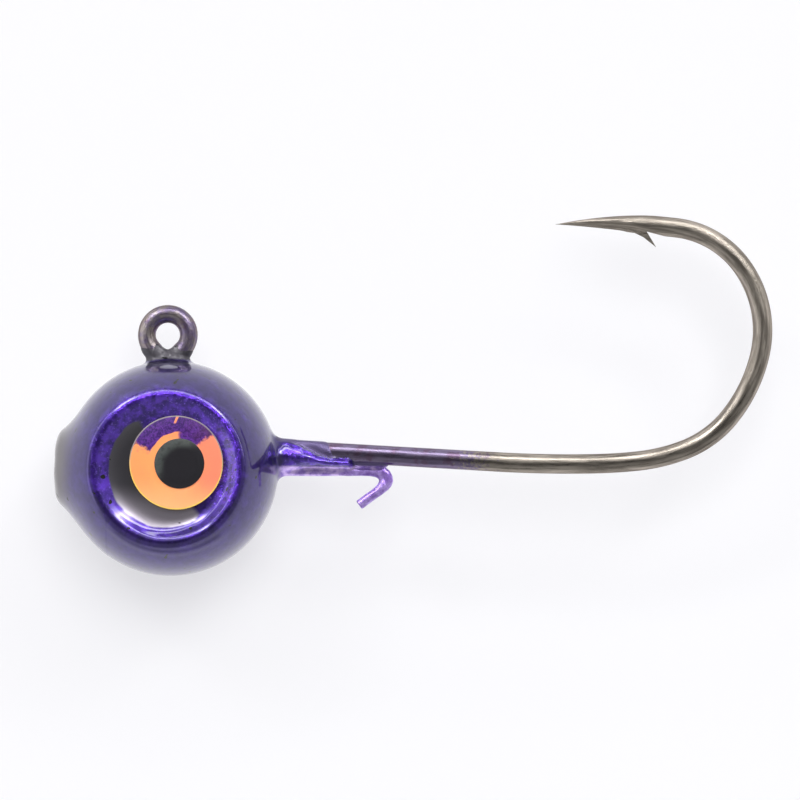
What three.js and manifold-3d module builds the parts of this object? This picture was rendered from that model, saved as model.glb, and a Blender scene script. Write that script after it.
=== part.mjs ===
// A ball-head fishing jig: a lead ball cast round a right-angle jig hook and a wire bait keeper,
// under one skin of candy paint, with a stick-on domed eye in the socket on each side.
//
// Millimetres, +Z up. The origin is the centre of the nose flat. +X runs back along the shank towards
// the bend, +Z is the side of the line tie and the hook point, and -Y is the jig's left side.
// The dimensions below are measured from the ball's centre, and the finished jig is moved as one.

import * as THREE from "three";
import { mergeVertices } from "three/addons/utils/BufferGeometryUtils.js";
import Module from "manifold-3d";

const wasm = await Module();
wasm.setup();

// ---- Driving dimensions ----

const BALL_R = 6.97;
const COAT = 0.12; // thickness of the paint
const SKIN_GAP = 0.02; // between the paint and the lead, and between the layers of an eye
const WIRE_GAP = 0.03; // between a wire and the metal cast or sprayed round it

// Eye sockets: a flat floor, a fillet and a sloping wall up to a soft rim.
const SOCKET_FLOOR = 4.27; // distance of the floor from the ball's middle plane
const SOCKET_FLAT_R = 3.74;
const SOCKET_RIM_R = 4.95;
// The socket from its floor out to its rim: [radius, distance from the middle plane].
const SOCKET_PROFILE = [
  [0, SOCKET_FLOOR],
  [SOCKET_FLAT_R, SOCKET_FLOOR],
  [3.92, 4.35],
  [4.1, 4.5],
  [4.6, 4.91],
  [4.76, 4.985],
];

// Nose: the stub where the casting gate was cut off flat.
const NOSE_FACE_X = -7.42;
const NOSE_FACE_R = 1.8;
const NOSE_Z = -0.25;
const NOSE_ROOT_DEPTH = 2.4; // how far behind the face the stub's solid ends, inside the ball
// The stub's side from its root to its face: [radius beyond the face's, depth behind the face].
const NOSE_PROFILE = [
  [1.55, NOSE_ROOT_DEPTH],
  [1.55, 1.4],
  [0.7, 0.4],
  [0.3, 0.12],
  [0, 0],
];

// Hook.
const WIRE_R = 0.63;
const SHANK_Z = 1.63;
const SHANK_END_X = 20.92; // where the straight shank starts to curve
const ELBOW_R = 1.9; // the right-angle bend inside the ball
const POINT_LENGTH = 6.3; // length over which the wire tapers to its point
const POINT_SHAPE = 1.4; // over 1 makes the taper fuller than a cone
// The bend from the end of the shank round to the point: [radius, turn in degrees].
const BEND_ARCS = [
  [85, 4.25],
  [33, 5.15],
  [11.9, 15],
  [6.9, 29.8],
  [10, 25.7],
  [7.1, 48.3],
  [6.1, 48.3],
  [44, 10.2],
];

// Line tie: a ring whose wire closes on itself in a neck of two wires side by side.
const TIE_X = -0.7;
const TIE_Z = 8.6;
const TIE_R = 1.37; // of the ring's centreline
const TIE_WIRE_R = 0.54;
const NECK_X = -0.56;
const NECK_HALF = 0.66; // from the neck's middle to each wire's centre
const NECK_SPREAD = 0.8; // the same, where the wires meet the ring
const NECK_BEND_Z = 6.6; // below this the two wires run parallel
const NECK_TOP_Z = 7.5;
const TAIL_END_Z = 4.8; // where the end of the ring's wire stops inside the ball
// Paint climbs the neck: [height, how far it stands out from the two wires].
const MENISCUS_LEVELS = [
  [6.3, 0.55],
  [6.75, 0.25],
  [7.0, 0.1],
];

// Barb, as points in the hook's plane.
const BARB_TIP = [30.53, 16.1];
const BARB_NOTCH = [29.82, 17.1]; // the bottom of the cut, where the sliver starts to lift
const BARB_WIDTH = 0.44;

// Bait keeper.
const KEEPER_R = 0.28;
const KEEPER_START = [4.6, 0.13];
const KEEPER_SLOPE = 3; // degrees, rising towards the shank
const KEEPER_RUN = 9;
const KEEPER_BEND_R = 0.55;
const KEEPER_TURN = -144;
const KEEPER_LEG = 2.05;

// Collar: the lead tongue that ties the shank and the keeper together behind the ball.
// Stations along X: [x, centre z, half height, half width].
const COLLAR_STATIONS = [
  [4.6, 1.1, 1.75, 1.75],
  [6.4, 1.15, 1.5, 1.45],
  [7.1, 1.12, 0.92, 1.08],
  [8.7, 1.18, 0.56, 0.98],
  [10.3, 0.97, 0.32, 0.85],
  [11.4, 1.03, 0.34, 0.74],
  [11.7, 1.0, 0.2, 0.5],
];

// Eyes: each is adhesive, holographic film, printed pupil and clear dome, bottom to top.
const EYE_R = 3.0;
const EYE_X = 0.63;
const EYE_Z = 0.4;
const ADHESIVE_T = 0.08;
const FOIL_T = 0.1;
const PUPIL_T = 0.05;
const PUPIL_R = 1.6;
const PUPIL_X = 0.21;
const PUPIL_Z = -0.05;
const DOME_EDGE_T = 0.16;
const DOME_T = 0.42;

// Facets.
const SLIVER = 0.004; // detail finer than this is dropped
const BALL_SIDES = 48;
const EYE_SIDES = 36;
const WIRE_SIDES = 14;

// ---- Materials ----

const finish = (color, roughness, metalness) =>
  new THREE.MeshStandardMaterial({ color, roughness, metalness });
const CANDY_PAINT = finish(0x4a2fa8, 0.2, 0.9);
const LEAD = finish(0x6f7378, 0.55, 0.8);
const BLACK_NICKEL = finish(0x5b544c, 0.28, 1);
const PAINTED_WIRE = finish(0x7a52c8, 0.22, 0.9);
const ADHESIVE = finish(0xd8d8d2, 0.6, 0);
const FOIL = finish(0xf08a50, 0.25, 0.7);
const PUPIL_INK = finish(0x0b0b0d, 0.15, 0);
const CLEAR_RESIN = new THREE.MeshStandardMaterial({
  color: 0xffffff,
  roughness: 0.05,
  metalness: 0,
  transparent: true,
  opacity: 0.3,
});

// ---- Solids: closed bodies that can be joined and cut ----

function toSolid(geometry) {
  const bare = geometry.clone();
  bare.deleteAttribute("normal");
  bare.deleteAttribute("uv");
  const merged = mergeVertices(bare, 1e-4);
  return new wasm.Manifold(
    new wasm.Mesh({
      numProp: 3,
      vertProperties: merged.attributes.position.array,
      triVerts: new Uint32Array(merged.index.array),
    }),
  );
}

// Slivers left by the joins and cuts are smoothed away on the way out.
function toGeometry(solid) {
  const mesh = solid.simplify(SLIVER).getMesh();
  const shared = new THREE.BufferGeometry();
  shared.setAttribute("position", new THREE.BufferAttribute(mesh.vertProperties, 3));
  shared.setIndex(new THREE.BufferAttribute(mesh.triVerts, 1));
  const faceted = shared.toNonIndexed();
  faceted.computeVertexNormals();
  return faceted;
}

const union = (solids) => solids.reduce((a, b) => a.add(b));

// ---- Outlines and paths in a plane ----

// Moves each point of an outline inwards; the outline runs with the solid on its left.
function insetOutline(points, distance) {
  return points.map((point, i) => {
    const before = points[Math.max(i - 1, 0)];
    const after = points[Math.min(i + 1, points.length - 1)];
    const along = after.clone().sub(before).normalize();
    const inwards = new THREE.Vector2(-along.y, along.x);
    const moved = point.clone().addScaledVector(inwards, distance);
    if (point.x === 0) moved.x = 0;
    return moved;
  });
}

// A pen draws lines and tangent arcs in the XZ plane; a positive turn bends the path anticlockwise.
class Pen {
  constructor(x, z, headingDegrees) {
    this.path = new THREE.Path().moveTo(x, z);
    this.heading = THREE.MathUtils.degToRad(headingDegrees);
  }
  forward(length) {
    const from = this.path.currentPoint;
    this.path.lineTo(
      from.x + length * Math.cos(this.heading),
      from.y + length * Math.sin(this.heading),
    );
    return this;
  }
  turn(radius, degrees) {
    const side = Math.sign(degrees);
    const from = this.path.currentPoint;
    const cx = from.x - side * radius * Math.sin(this.heading);
    const cz = from.y + side * radius * Math.cos(this.heading);
    const start = this.heading - (side * Math.PI) / 2;
    const sweep = THREE.MathUtils.degToRad(degrees);
    this.path.absarc(cx, cz, radius, start, start + sweep, side < 0);
    this.heading += sweep;
    return this;
  }
  // Points along the path, with the doubles where two pieces join left out.
  points(divisions) {
    return this.path
      .getPoints(divisions)
      .filter((p, i, all) => i === 0 || p.distanceTo(all[i - 1]) > 1e-4);
  }
}

// ---- Lofts: closed skins over rings of points ----

// Joins rings of equally many points, each running anticlockwise seen from the end of the loft.
function loft(rings) {
  const sides = rings[0].length;
  const positions = rings.flat().flatMap((p) => [p.x, p.y, p.z]);
  const index = [];
  for (let r = 0; r + 1 < rings.length; r++) {
    for (let s = 0; s < sides; s++) {
      const a = r * sides + s;
      const b = r * sides + ((s + 1) % sides);
      index.push(a, b, b + sides, a, b + sides, a + sides);
    }
  }
  const last = (rings.length - 1) * sides;
  for (let s = 1; s + 1 < sides; s++) {
    index.push(0, s + 1, s);
    index.push(last, last + s, last + s + 1);
  }
  const geometry = new THREE.BufferGeometry();
  geometry.setAttribute("position", new THREE.Float32BufferAttribute(positions, 3));
  geometry.setIndex(index);
  return geometry;
}

// A round rod along points (x, z) of the XZ plane, with a radius for each distance still to go.
function rod(points, radiusAt, sides) {
  const toGo = points.map(() => 0);
  for (let i = points.length - 2; i >= 0; i--) {
    toGo[i] = toGo[i + 1] + points[i].distanceTo(points[i + 1]);
  }
  const rings = points.map((centre, i) => {
    const before = points[Math.max(i - 1, 0)];
    const after = points[Math.min(i + 1, points.length - 1)];
    const along = after.clone().sub(before).normalize();
    const radius = radiusAt(toGo[i]);
    return Array.from({ length: sides }, (_, s) => {
      const angle = (2 * Math.PI * s) / sides;
      const across = radius * Math.cos(angle);
      return new THREE.Vector3(
        centre.x - across * along.y,
        -radius * Math.sin(angle),
        centre.y + across * along.x,
      );
    });
  });
  return loft(rings);
}

// ---- Head: the ball with its sockets, the nose stub and the collar, grown inwards by an inset ----

function ballOutline() {
  const socket = SOCKET_PROFILE.map(([r, y]) => new THREE.Vector2(r, y));
  const rimAngle = Math.asin(SOCKET_RIM_R / BALL_R);
  const arcSteps = 14;
  const arc = [];
  for (let i = 0; i <= arcSteps; i++) {
    const angle = rimAngle + ((Math.PI - 2 * rimAngle) * i) / arcSteps;
    arc.push(new THREE.Vector2(BALL_R * Math.sin(angle), BALL_R * Math.cos(angle)));
  }
  const farSide = socket.map((p) => new THREE.Vector2(p.x, -p.y)).reverse();
  return [...socket, ...arc, ...farSide].reverse();
}

// The stub spreads from its cut face in a softened edge and a short cone that runs into the ball.
function noseOutline() {
  const face = -NOSE_FACE_X;
  const side = NOSE_PROFILE.map(([spread, depth]) => [NOSE_FACE_R + spread, face - depth]);
  const outline = [[0, face - NOSE_ROOT_DEPTH], ...side, [0, face]];
  return outline.map(([r, y]) => new THREE.Vector2(r, y));
}

function collar(inset) {
  const sides = 20;
  const rings = COLLAR_STATIONS.map(([x, z, halfHeight, halfWidth], station) => {
    const isTip = station === COLLAR_STATIONS.length - 1;
    return Array.from({ length: sides }, (_, s) => {
      const angle = (2 * Math.PI * s) / sides;
      return new THREE.Vector3(
        x - (isTip ? inset : 0),
        (halfWidth - inset) * Math.cos(angle),
        z + (halfHeight - inset) * Math.sin(angle),
      );
    });
  });
  return toSolid(loft(rings));
}

function head(inset) {
  const ball = new THREE.LatheGeometry(insetOutline(ballOutline(), inset), BALL_SIDES);
  const nose = new THREE.LatheGeometry(insetOutline(noseOutline(), inset), 32);
  nose.rotateZ(Math.PI / 2);
  nose.translate(0, 0, NOSE_Z);
  return union([toSolid(ball), toSolid(nose), collar(inset)]);
}

// ---- Hook and keeper wires, grown outwards where they cut the head ----

function hookSolid(grow) {
  const legX = NECK_X - NECK_HALF;
  const elbowX = legX + ELBOW_R;
  const waistZ = (NECK_BEND_Z + NECK_TOP_Z) / 2;
  const pen = new Pen(NECK_X - NECK_SPREAD, NECK_TOP_Z, -90);
  pen.path.quadraticCurveTo(legX, waistZ, legX, NECK_BEND_Z);
  pen.path.lineTo(legX, SHANK_Z + ELBOW_R);
  pen.turn(ELBOW_R, 90);
  pen.forward(SHANK_END_X - elbowX);
  for (const [radius, degrees] of BEND_ARCS) pen.turn(radius, degrees);
  const taper = (toGo) => {
    const left = Math.max(0, 1 - toGo / POINT_LENGTH);
    return Math.max(0.02, WIRE_R * (1 - left ** POINT_SHAPE)) + grow;
  };
  const wire = toSolid(rod(pen.points(4), taper, WIRE_SIDES));

  const tailX = NECK_X + NECK_HALF;
  const tailPen = new Pen(tailX, TAIL_END_Z - grow, 90);
  tailPen.path.lineTo(tailX, NECK_BEND_Z);
  tailPen.path.quadraticCurveTo(tailX, waistZ, NECK_X + NECK_SPREAD, NECK_TOP_Z);
  const tail = toSolid(rod(tailPen.points(4), () => WIRE_R + grow, WIRE_SIDES));

  const ring = new THREE.TorusGeometry(TIE_R, TIE_WIRE_R + grow, 12, 32);
  ring.rotateX(Math.PI / 2);
  ring.translate(TIE_X, 0, TIE_Z);
  return union([wire, tail, toSolid(ring)]);
}

// A flat plate standing in the hook's plane, from an outline of (x, z) points.
function plate(outline, width) {
  const shape = new THREE.Shape(outline.map(([x, z]) => new THREE.Vector2(x, z)));
  const geometry = new THREE.ExtrudeGeometry(shape, { depth: width, bevelEnabled: false });
  geometry.translate(0, 0, -width / 2);
  geometry.rotateX(Math.PI / 2);
  return toSolid(geometry);
}

// The barb is a sliver sliced up from the inside of the point, which leaves a slanting cut behind it.
function barbedHook() {
  const [tipX, tipZ] = BARB_TIP;
  const [notchX, notchZ] = BARB_NOTCH;
  const cut = plate(
    [
      [notchX, notchZ],
      [notchX + 0.35, notchZ - 0.9],
      [notchX + 2, notchZ - 0.9],
      [notchX + 1.75, notchZ - 0.38],
    ],
    2 * WIRE_R + 1,
  );
  const barb = plate(
    [
      [notchX - 1.3, notchZ + 0.1],
      [notchX - 0.7, notchZ - 0.17],
      [notchX - 0.15, notchZ - 0.4],
      [tipX, tipZ],
      [notchX + 0.02, notchZ],
    ],
    BARB_WIDTH,
  );
  return hookSolid(0).subtract(cut).add(barb);
}

function keeperSolid(grow) {
  const pen = new Pen(...KEEPER_START, KEEPER_SLOPE);
  pen.forward(KEEPER_RUN);
  pen.turn(KEEPER_BEND_R, KEEPER_TURN);
  pen.forward(KEEPER_LEG);
  return toSolid(rod(pen.points(6), () => KEEPER_R + grow, 12));
}

// ---- Assembly ----

const jig = new THREE.Group();

function add(parent, name, geometry, material) {
  const mesh = new THREE.Mesh(geometry, material);
  mesh.name = name;
  parent.add(mesh);
  return mesh;
}

// Paint gathers round the neck where the wires leave the ball.
function meniscus() {
  const sides = 24;
  const rings = MENISCUS_LEVELS.map(([z, spread]) =>
    Array.from({ length: sides }, (_, s) => {
      const angle = (2 * Math.PI * s) / sides;
      const x = NECK_X + (NECK_HALF + WIRE_R + spread) * Math.cos(angle);
      return new THREE.Vector3(x, (WIRE_R + spread) * Math.sin(angle), z);
    }),
  );
  return toSolid(loft(rings));
}

// The head is the same shape grown inwards: once for the inside of the paint, once for the lead.
const channels = hookSolid(WIRE_GAP).add(keeperSolid(WIRE_GAP));
const leadHead = head(COAT + SKIN_GAP).subtract(channels);
const paintCoat = head(0).add(meniscus()).subtract(head(COAT)).subtract(channels);
add(jig, "hook", toGeometry(barbedHook()), BLACK_NICKEL);
add(jig, "keeper_wire", toGeometry(keeperSolid(0)), PAINTED_WIRE);
add(jig, "lead_head", toGeometry(leadHead), LEAD);
add(jig, "paint_coat", toGeometry(paintCoat), CANDY_PAINT);

function disc(radius, thickness) {
  const geometry = new THREE.CylinderGeometry(radius, radius, thickness, EYE_SIDES);
  return geometry.translate(0, thickness / 2, 0);
}

// The dome's pocket, cut from below, holds the printed pupil.
function dome(pupilZ) {
  const outline = [new THREE.Vector2(0, 0), new THREE.Vector2(EYE_R, 0)];
  const steps = 5;
  for (let i = 0; i <= steps; i++) {
    const share = 1 - i / steps;
    const rise = (DOME_T - DOME_EDGE_T) * (1 - share * share);
    outline.push(new THREE.Vector2(EYE_R * share, DOME_EDGE_T + rise));
  }
  const body = toSolid(new THREE.LatheGeometry(outline, EYE_SIDES));
  const pocketGeometry = disc(PUPIL_R + SKIN_GAP, PUPIL_T + 2 * SKIN_GAP);
  pocketGeometry.translate(PUPIL_X, -SKIN_GAP, pupilZ);
  return toGeometry(body.subtract(toSolid(pocketGeometry)));
}

// Layers stack outwards along the group's own +Y, which the left eye's half turn points to -Y.
function eye(side, isLeft) {
  const stack = new THREE.Group();
  stack.position.set(EYE_X, 0, EYE_Z);
  if (isLeft) stack.rotation.x = Math.PI;
  const pupilZ = isLeft ? -PUPIL_Z : PUPIL_Z;
  let level = SOCKET_FLOOR + SKIN_GAP;
  const layer = (name, geometry, material, thickness) => {
    const mesh = add(stack, `${side}_eye_${name}`, geometry, material);
    mesh.position.y = level;
    level += thickness + SKIN_GAP;
    return mesh;
  };
  layer("adhesive", disc(EYE_R - 0.05, ADHESIVE_T), ADHESIVE, ADHESIVE_T);
  layer("foil", disc(EYE_R, FOIL_T), FOIL, FOIL_T);
  const onFoil = level;
  const pupil = layer("pupil", disc(PUPIL_R, PUPIL_T), PUPIL_INK, PUPIL_T);
  pupil.position.x = PUPIL_X;
  pupil.position.z = pupilZ;
  level = onFoil;
  layer("dome", dome(pupilZ), CLEAR_RESIN, DOME_T);
  jig.add(stack);
}

eye("left", true);
eye("right", false);
jig.position.set(-NOSE_FACE_X, 0, -NOSE_Z);

export default jig;
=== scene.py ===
"""The jig head in Blender: the CAD frame with finer pieces over it, in candy paint, black nickel and foil.

The row's frame has its origin on the nose flat, +X back along the shank, +Z towards the line tie and
-Y the left side. Shapes are worked out in millimetres from the ball's centre and stored in metres. The
hook lies in the XZ plane, so a pair of numbers for a place is (x, z).
"""

import math

import bmesh
import bpy
import numpy as np
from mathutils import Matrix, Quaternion, Vector


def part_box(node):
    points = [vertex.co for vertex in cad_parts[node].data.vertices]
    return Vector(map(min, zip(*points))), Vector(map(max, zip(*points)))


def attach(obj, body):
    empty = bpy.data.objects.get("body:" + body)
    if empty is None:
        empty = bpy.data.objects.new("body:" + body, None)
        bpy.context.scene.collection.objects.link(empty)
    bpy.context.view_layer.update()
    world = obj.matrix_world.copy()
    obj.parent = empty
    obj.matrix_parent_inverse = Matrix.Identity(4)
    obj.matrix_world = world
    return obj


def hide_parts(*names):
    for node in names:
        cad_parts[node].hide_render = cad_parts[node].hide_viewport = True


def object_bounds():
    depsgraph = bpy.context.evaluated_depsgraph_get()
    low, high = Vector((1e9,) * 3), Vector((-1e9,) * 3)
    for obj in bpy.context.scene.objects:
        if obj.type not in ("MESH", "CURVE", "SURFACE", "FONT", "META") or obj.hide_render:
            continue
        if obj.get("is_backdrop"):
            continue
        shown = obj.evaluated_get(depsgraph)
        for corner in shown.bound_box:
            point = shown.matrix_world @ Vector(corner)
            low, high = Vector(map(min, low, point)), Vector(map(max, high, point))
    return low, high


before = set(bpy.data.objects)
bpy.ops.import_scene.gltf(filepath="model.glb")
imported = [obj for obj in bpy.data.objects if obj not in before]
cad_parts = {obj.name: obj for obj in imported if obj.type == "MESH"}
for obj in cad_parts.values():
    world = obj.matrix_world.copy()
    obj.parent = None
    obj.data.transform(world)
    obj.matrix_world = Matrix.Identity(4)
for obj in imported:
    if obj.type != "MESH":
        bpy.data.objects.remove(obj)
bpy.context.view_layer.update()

MM = 0.001
DEGREE = 180 / math.pi
BALL = np.array([7.42, 0, 0.25])  # the ball's centre in the row's frame, in millimetres


def box_mm(node):
    """A CAD node's box, in millimetres from the ball's centre."""
    low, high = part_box(node)
    return np.array(low) / MM - BALL, np.array(high) / MM - BALL


coat_low, coat_high = box_mm("paint_coat")
keeper_low, keeper_high = box_mm("keeper_wire")

# ---- Dimensions, in millimetres; the ones a box gives are read from it ----

BALL_R = -coat_low[2]
NOSE_FACE = -coat_low[0]
NOSE_Z = -0.25  # the gate's middle

SOCKET_FLOOR = 4.23  # from the jig's middle plane
SOCKET_DISH = 0.004  # the floor's rise away from its middle
SOCKET_RIM = (4.8, 5.06)  # radius, and distance from the middle plane
SOCKET_FOOT = (3.15, 3.8)  # the floor's radius where the wall is gentlest and where it is steepest
SOCKET_SIDE = math.radians(-20)  # the steepest wall is this way from the middle: behind and a little below
POOL_SIDE = math.radians(215)  # the grey floor, partly pooled paint and partly a painted reflection, is this way: ahead and below

WIRE_R = 0.63
SHANK_Z = 1.63
SHANK_END_X = 20.92
ELBOW_R = 1.9  # where the shank turns up inside the ball
BEND_ARCS = [  # radius and degrees, from the shank to the point
    (85, 4.25),
    (33, 5.15),
    (11.9, 15),
    (6.9, 29.8),
    (10, 25.7),
    (7.1, 48.3),
    (6.1, 48.3),
    (44, 10.2),
]
POINT_LENGTH = 6.3
POINT_SHAPE = 1.4  # 1 would be a straight taper
POINT_LEAN = math.radians(50)  # each ground flat's turn from the inside of the bend
BARB_TIP = (30.53, 16.1)
BARB_NOTCH = (29.82, 17.1)
BARB_CUT_WIDTH = 2.0
BARB_WIDTH = 0.44

TIE = np.array([-0.7, 8.62])  # the middle of the line tie's ring
TIE_R = 1.36
TIE_WIRE_R = 0.58
NECK_X = -0.56  # half way between the two neck wires
NECK_HALF = 0.66
TAIL_END_Z = 4.8  # the wire's cut end, inside the lead

KEEPER_R = 0.32
KEEPER_START = (4.6, 0.13)
KEEPER_SLOPE = 3  # degrees
KEEPER_RUN = 8.94
KEEPER_BEND_R = 0.55
KEEPER_TURN = -144  # degrees
KEEPER_LEG = 2.05

BURIED = 4.5  # shapes that run into the ball start this far from its middle
TONGUE_TIP_X = 11.4
FILM_END_X = 14.3
FILM_TOP_Z = 8.35
SKIN_END_X, SKIN_TOP_Z = 14.6, 8.6  # the painted skin is looked for up to here
SKIN_MARGIN = 0.35

PUPIL_OFF = (0.21, -0.05)  # from the eye's middle
DOME_EDGE = 0.12  # the upright edge of the resin
DOME_RINGS = 24
DOME_SHAPE = 2.6  # 2 would be a parabola, and more is flatter on top

CELL = 0.1  # size of the painted skin's faces
KEEPER_CELL = CELL * 0.6
WIRE_STEP = 0.16
WIRE_SIDES = 32
KEEPER_STEP = 0.25


# ---- Mesh helpers ----


def new_object(name, vertices_mm, faces, material, normals=None, origin_mm=(0, 0, 0)):
    """A smooth-shaded mesh object. Its own origin is origin_mm from the ball's centre."""
    mesh = bpy.data.meshes.new(name)
    origin = np.array(origin_mm, float)
    mesh.from_pydata(((np.asarray(vertices_mm) - origin) * MM).tolist(), [], faces)
    mesh.validate()
    mesh.polygons.foreach_set("use_smooth", np.ones(len(mesh.polygons), bool))
    if normals is not None:
        mesh.normals_split_custom_set_from_vertices(normals.tolist())
    obj = bpy.data.objects.new(name, mesh)
    obj.location = Vector((BALL + origin) * MM)
    bpy.context.scene.collection.objects.link(obj)
    mesh.materials.append(material)
    return obj


def sharpen(obj, degrees):
    """Edges that turn by more than this are left sharp, so that smooth shading stops at them."""
    bm = bmesh.new()
    bm.from_mesh(obj.data)
    for edge in bm.edges:
        if len(edge.link_faces) == 2 and edge.calc_face_angle(0) > math.radians(degrees):
            edge.smooth = False
    bm.to_mesh(obj.data)
    bm.free()


def face_outward(obj):
    bm = bmesh.new()
    bm.from_mesh(obj.data)
    bmesh.ops.recalc_face_normals(bm, faces=bm.faces)
    bm.to_mesh(obj.data)
    bm.free()


def attribute(obj, name, values):
    """Stores a number for each vertex, which the materials read by name."""
    layer = obj.data.attributes.new(name, "FLOAT", "POINT")
    layer.data.foreach_set("value", np.asarray(values, np.float32))


def finish_piece(obj, node):
    """The piece stands for a CAD node and rides on the row's only body."""
    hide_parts(node)
    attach(obj, "root")


# ---- Distance fields: negative inside. The painted head is one smooth skin over blended shapes ----


def smooth_min(a, b, k):
    """The union of two fields, with a fillet about k wide where they meet."""
    h = np.clip(0.5 + 0.5 * (b - a) / k, 0, 1)
    return b + (a - b) * h - k * h * (1 - h)


def smooth_max(a, b, k):
    """The part that two fields share, rounded in the same way."""
    return -smooth_min(-a, -b, k)


def smoothstep(low, high, v):
    t = np.clip((v - low) / (high - low), 0, 1)
    return t * t * (3 - 2 * t)


def ripple(x, y, z, scale):
    """Slow unevenness between -1 and 1."""
    return (
        np.sin(x * 1.7 / scale + 0.4) * np.sin(y * 1.3 / scale + 2.1) * 0.5
        + np.sin(z * 1.9 / scale + 1.3 + np.sin(x * 0.9 / scale)) * 0.5
    )


def nose_field(x, y, z):
    """A short cone from the ball to the face where the gate was cut off, not quite flat or square."""
    along = -x
    r = np.sqrt(y * y + (z - NOSE_Z) ** 2)
    tilt = 0.035 * (z - NOSE_Z)
    face = along - NOSE_FACE - tilt + 0.03 * ripple(x * 0, y, z, 0.5)
    # The cone widens by 0.85 for each millimetre, and the last factor keeps the field a true distance.
    cone = (r - 2.5 - (NOSE_FACE - 0.4 - along) * 0.85) * 0.76
    return np.maximum(smooth_max(face, cone, 0.4), 4 - along)


def tube_field(path, radius, x, y, z):
    """Distance from a round tube along points of the XZ plane, held below 3 mm."""
    nearest = np.full(x.shape, 9.0)  # squared
    for (ax, az), (bx, bz) in zip(path[:-1], path[1:]):
        dx, dz = bx - ax, bz - az
        t = np.clip(((x - ax) * dx + (z - az) * dz) / (dx * dx + dz * dz), 0, 1)
        away = (x - ax - t * dx) ** 2 + (z - az - t * dz) ** 2 + y * y
        nearest = np.minimum(nearest, away)
    return np.sqrt(nearest) - radius


def neck_field(x, y, z):
    """Paint round the two neck wires, and between them up to the rounded bottom of the ring's hole."""
    x, y, z = np.broadcast_arrays(x, y, z)
    field = np.full(x.shape, 3.0)  # far from the neck, any positive number will do
    near = (np.abs(x - NECK_X) < 3.2) & (z > 4.2)
    if near.any():
        x, y, z = x[near], y[near], z[near]
        film = 0.045 - 0.15 * smoothstep(7.2, 8.3, z)
        radius = WIRE_R + film - (WIRE_R - TIE_WIRE_R) * smoothstep(7.2, 8.2, z)
        sides = [tube_field(half, radius, x, y, z) for half in NECK_PATHS]
        web = smooth_min(sides[0], sides[1], 0.45 * (1 - smoothstep(7.2, 7.9, z)) + 0.001)
        sheet = np.maximum(np.abs(y) - 0.42, z - 7.66 - 0.55 * (x - TIE[0]) ** 2)
        sheet = np.maximum(sheet, np.abs(x - TIE[0]) - 0.6)
        web = np.maximum(smooth_min(web, sheet, 0.4), z - FILM_TOP_Z)
        field[near] = np.maximum(web, BURIED - z)
    return field


def tongue_field(x, y, z):
    """The cast tongue: its top edge falls in an S from the ball to a rounded tip between shank and keeper."""
    top = 1.26 + 0.98 * (1 - smoothstep(7.3, 10.5, x))
    top = top + 0.08 * np.exp(-(((x - 11.3) / 0.4) ** 2))  # a slight hump near the tip
    bottom = 0.62 - 0.5 * (1 - smoothstep(7.1, 9.2, x))
    half_width = 0.84 + 0.32 * (1 - smoothstep(7.6, 10.8, x))
    half_height = (top - bottom) / 2
    middle = (top + bottom) / 2
    section = np.sqrt((y / half_width) ** 2 + ((z - middle) / half_height) ** 2) - 1
    body = section * half_height * 0.9 + 0.02 * ripple(x, y, z, 0.22)
    tip = (np.sqrt((x - TONGUE_TIP_X) ** 2 + (y * 0.42) ** 2 + (z - 0.98) ** 2) - 0.36) * 0.9
    return np.maximum(np.where(x > TONGUE_TIP_X, tip, body), BURIED - x)


def keeper_run_z(x):
    """Height of the middle of the keeper's straight run."""
    slope = math.tan(math.radians(KEEPER_SLOPE))
    return KEEPER_START[1] + (x - KEEPER_START[0]) * slope


def wires_field(x, y, z):
    """Paint on the shank and keeper behind the ball: thick and flat-sided at first, then a thinning film."""
    film = 0.05 - 0.14 * smoothstep(10.1, 10.7, x + 0.5 * (z - SHANK_Z))
    power = 2 + 2 * (1 - smoothstep(9.0, 10.0, x))
    reach = (np.abs(z - SHANK_Z) ** power + np.abs(y) ** power) ** (1 / power)
    shank = (reach - WIRE_R - film) * 0.9
    end_x = KEEPER_START[0] + KEEPER_RUN
    past = np.maximum(x - end_x, 0)
    keeper_z = keeper_run_z(np.minimum(x, end_x))
    film = 0.03 - 0.08 * smoothstep(9.5, 13.0, x)
    keeper = np.sqrt((z - keeper_z) ** 2 + y * y + past**2) - KEEPER_R - film
    both = smooth_min(shank, keeper, 0.5 + 0.35 * smoothstep(11.0, 12.5, x))
    return np.maximum(smooth_max(both, x - FILM_END_X, 0.3), BURIED - x)


def socket_field(x, y, z):
    """Inside either socket, whose wall is steep behind the eye and gentle ahead of it, where paint pooled."""
    side = np.abs(y)
    r = np.sqrt(x * x + z * z)
    steep = 0.5 + 0.5 * np.cos(np.arctan2(z, x) - SOCKET_SIDE) * np.minimum(r / 2, 1)
    foot = SOCKET_FOOT[0] + (SOCKET_FOOT[1] - SOCKET_FOOT[0]) * steep
    slope = (SOCKET_RIM[0] - foot) / (SOCKET_RIM[1] - SOCKET_FLOOR)
    floor = SOCKET_FLOOR + SOCKET_DISH * r * r - side + 0.012 * ripple(x, z, y * 0, 1.3)
    wall = (r - foot - (side - SOCKET_FLOOR) * slope) / np.hypot(1, slope)
    return smooth_max(floor, wall + 0.02 * ripple(z, x, y, 0.8), 0.45 - 0.2 * steep)


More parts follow.
